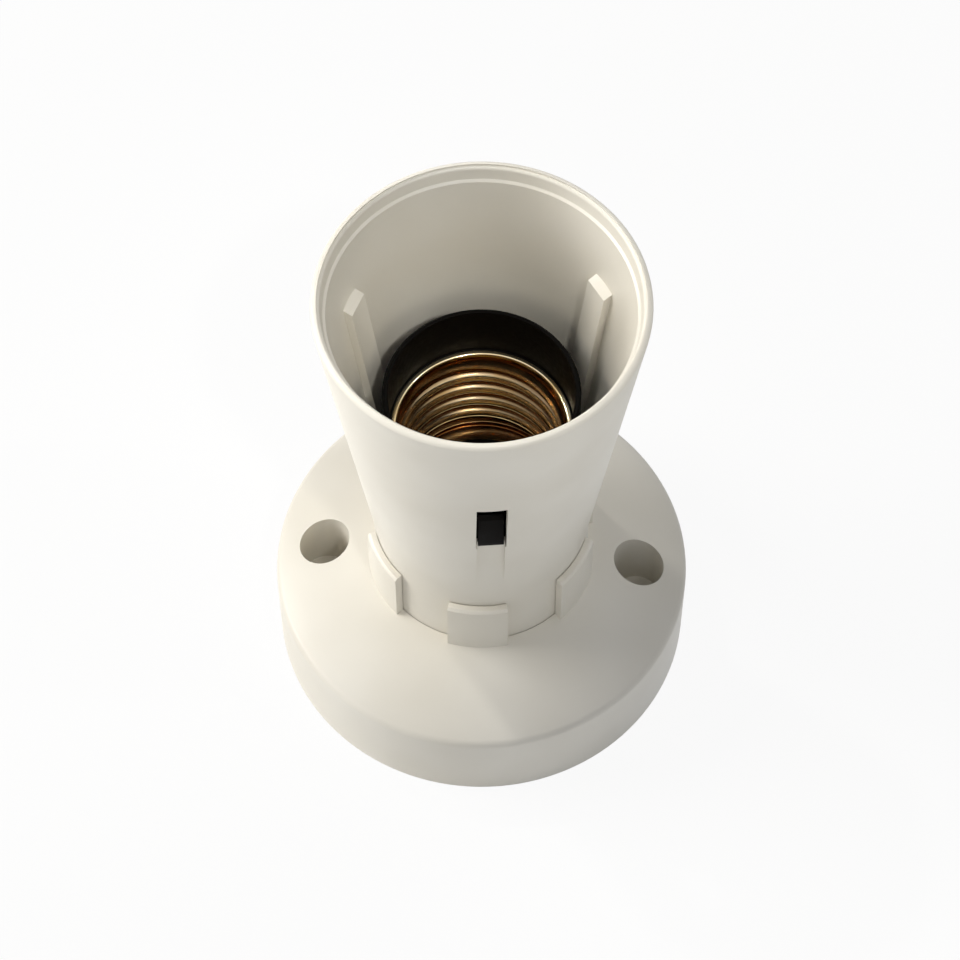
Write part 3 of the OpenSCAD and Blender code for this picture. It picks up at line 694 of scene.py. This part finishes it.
terminalScrew = {"steps": 40, "shank": 1.75, "head": 3.2, "headHeight": 2.2, "edge": 0.4, "slot": 0.9,
                 "slotPast": 0.5, "tip": 35, "rows": 64, "pitch": 0.6, "threadDepth": 0.3,
                 "threadFrom": 30.4, "threadGap": 0.1, "runOut": 0.3,
                 "places": {"live": (6.172, -6.6187), "neutral": (-6.172, 6.6187)}}
clampWasher = {"steps": 48, "low": 30, "high": 30.8, "hole": 1.8, "radius": 3.5, "edge": 0.1}
p, w = terminalScrew, clampWasher
for side, centre in p["places"].items():
    top = w["low"]  # the head bears on the washer from below
    low = top - p["headHeight"]
    shank = [top + (p["tip"] - p["edge"] - top) * i / p["rows"] for i in range(p["rows"] + 1)]
    section = ([(0, low)] + arc((p["head"] - p["edge"], low + p["edge"]), p["edge"], -90, 0, 4)
               + [(p["head"], top)] + [(p["shank"], z) for z in shank]
               + [(p["shank"] - p["edge"], p["tip"]), (0, p["tip"])])
    thread = {"depth": p["threadDepth"], "pitch": p["pitch"], "start": p["threadFrom"],
              "end": p["tip"] - p["threadGap"], "runOut": p["runOut"], "cut": 1.0}
    slotLength = 2 * (p["head"] + p["slotPast"])  # right across the head and out at both ends
    slot = {"middle": (*centre, low), "size": (slotLength, p["slot"], p["headHeight"]), "turn": 0}
    screw = {"steps": p["steps"], "centre": centre, "section": section, "thread": thread, "slots": [slot]}
    turnedPiece(side + "_terminal_screw_cut", screw, platedSteel, side + "_screw", "plated_screw",
                side + "_terminal_screw")
    rim = w["radius"] - w["edge"]
    section = [(w["hole"], w["low"]), (rim, w["low"]), (w["radius"], w["low"] + w["edge"]),
               (w["radius"], w["high"] - w["edge"]), (rim, w["high"]), (w["hole"], w["high"])]
    washer = {"steps": w["steps"], "centre": centre, "section": section}
    turnedPiece(side + "_clamp_washer_ring", washer, platedSteel, side + "_screw", "plated_screw",
                side + "_clamp_washer")

insertScrew = {"steps": 40, "shank": 1.5, "head": 2.9, "headHeight": 2, "headFlat": 2.2, "headRound": 0.7,
               "slot": 0.8, "slotLength": 3, "under": 11.6, "length": 14, "rows": 88, "point": 3,
               "pointRows": 24, "tip": 0.3, "pitch": 1.3, "threadDepth": 0.4, "threadFrom": 13, "runOut": 1,
               "places": {"rear": (5.458, 8.735), "front": (-5.458, -8.735)}}
p = insertScrew
for side, centre in p["places"].items():
    low, tip = p["under"] - p["headHeight"], p["under"] + p["length"]
    shank = [p["under"] + (p["length"] - p["point"]) * i / p["rows"] for i in range(p["rows"] + 1)]
    point = [(p["shank"] - (p["shank"] - p["tip"]) * i / p["pointRows"],
              tip - p["point"] + p["point"] * i / p["pointRows"]) for i in range(1, p["pointRows"] + 1)]
    section = ([(0, low), (p["headFlat"], low)]
               + arc((p["headFlat"], low + p["headRound"]), p["headRound"], -90, 0, 5)
               + [(p["head"], p["under"])] + [(p["shank"], z) for z in shank] + point + [(0, tip)])
    thread = {"depth": p["threadDepth"], "pitch": p["pitch"], "start": p["threadFrom"], "end": tip,
              "runOut": p["runOut"], "cut": 1.0}
    slots = [{"middle": (*centre, low), "size": (p["slotLength"], p["slot"], p["headHeight"]), "turn": turn}
             for turn in (0, 90)]
    screw = {"steps": p["steps"], "centre": centre, "section": section, "thread": thread, "slots": slots}
    turnedPiece("insert_screw_" + side, screw, platedSteel, "holder", "plated_screw", "core_screw_" + side)
print("fasteners made")


# Floor, light and world: places and sizes in metres, floorGap in mm below the base, cones in degrees

studio = {"floor": "#FBFBF9", "floorHalf": 3, "floorGap": 0.05, "lift": 0.92,
          "sky": "#F4F6FA", "skyPower": 0.36}
lamps = {"key": {"place": (-0.82, 0.08, 0.45), "aim": (0, 0, 0.05), "size": 0.6, "power": 7.3,
                 "tint": "#FFFCF6"},
         "snoot": {"place": (0.16, -0.3, 0.62), "aim": (0, 0, 0.084), "size": 0.07, "cone": 6.5, "soft": 0.7,
                   "power": 9.0, "tint": "#FFFDF6"},
         "filler": {"place": (-0.28, 0.22, 0.6), "aim": (0.012, -0.012, 0.075), "size": 0.09, "cone": 4.4,
                    "soft": 0.6, "power": 15.0, "tint": "#FFFDF6"},
         "side": {"place": (0.4, 0.0, 0.56), "aim": (-0.014, 0.002, 0.074), "size": 0.09, "cone": 4.2,
                  "soft": 0.6, "power": 7.0, "tint": "#FFFDF6"}}


def seenDirectly(tree):
    # 1 for the camera and for what metal or glass reflects, 0 for light on the object
    path = addNode(tree, "ShaderNodeLightPath").outputs
    first = addNode(tree, "ShaderNodeMath", {0: path["Is Camera Ray"], 1: path["Is Glossy Ray"]},
                    operation="MAXIMUM")
    return addNode(tree, "ShaderNodeMath", {0: first.outputs[0], 1: path["Is Transmission Ray"]},
                   operation="MAXIMUM").outputs[0]


def makeFloor(s):
    mesh = bpy.data.meshes.new("floor")
    bm = bmesh.new()
    bmesh.ops.create_grid(bm, x_segments=1, y_segments=1, size=s["floorHalf"])
    bm.to_mesh(mesh)
    bm.free()
    floor = bpy.data.objects.new("floor", mesh)
    floor.location.z = -s["floorGap"] * mm
    scene.collection.objects.link(floor)
    material, tree = newMaterial("floor_paper")
    matt = addNode(tree, "ShaderNodeBsdfDiffuse", {"Color": linear(s["floor"])})
    glow = addNode(tree, "ShaderNodeEmission", {"Color": (1, 1, 1, 1), "Strength": 1})
    share = addNode(tree, "ShaderNodeMath", {0: seenDirectly(tree), 1: s["lift"]}, operation="MULTIPLY")
    mix = addNode(tree, "ShaderNodeMixShader", {0: share.outputs[0], 1: matt.outputs[0], 2: glow.outputs[0]})
    addNode(tree, "ShaderNodeOutputMaterial", {"Surface": mix.outputs[0]})
    mesh.materials.append(material)


def addLamp(name, lamp):
    # a soft disc, or with a cone a narrow lamp that looks down into the mouth
    data = bpy.data.lights.new(name, "SPOT" if "cone" in lamp else "AREA")
    if "cone" in lamp:
        data.spot_size = math.radians(lamp["cone"])
        data.spot_blend = lamp["soft"]
        data.shadow_soft_size = lamp["size"] / 2
    else:
        data.shape = "DISK"
        data.size = lamp["size"]
    data.energy = lamp["power"]
    data.color = linear(lamp["tint"])[:3]
    light = bpy.data.objects.new(name, data)
    light.location = lamp["place"]
    light.rotation_euler = (Vector(lamp["aim"]) - light.location).to_track_quat("-Z", "Y").to_euler()
    scene.collection.objects.link(light)


def makeWorld(s):
    world = bpy.data.worlds.new("studio")
    scene.world = world
    world.use_nodes = True
    tree = world.node_tree
    tree.nodes.clear()
    soft = addNode(tree, "ShaderNodeBackground", {"Color": linear(s["sky"]), "Strength": s["skyPower"]})
    white = addNode(tree, "ShaderNodeBackground", {"Color": (1, 1, 1, 1), "Strength": 1})
    mix = addNode(tree, "ShaderNodeMixShader",
                  {0: seenDirectly(tree), 1: soft.outputs[0], 2: white.outputs[0]})
    addNode(tree, "ShaderNodeOutputWorld", {"Surface": mix.outputs[0]})


makeFloor(studio)
for name, lamp in lamps.items():
    addLamp(name, lamp)
makeWorld(studio)
scene.view_settings.view_transform = "Standard"
print("floor and light made")
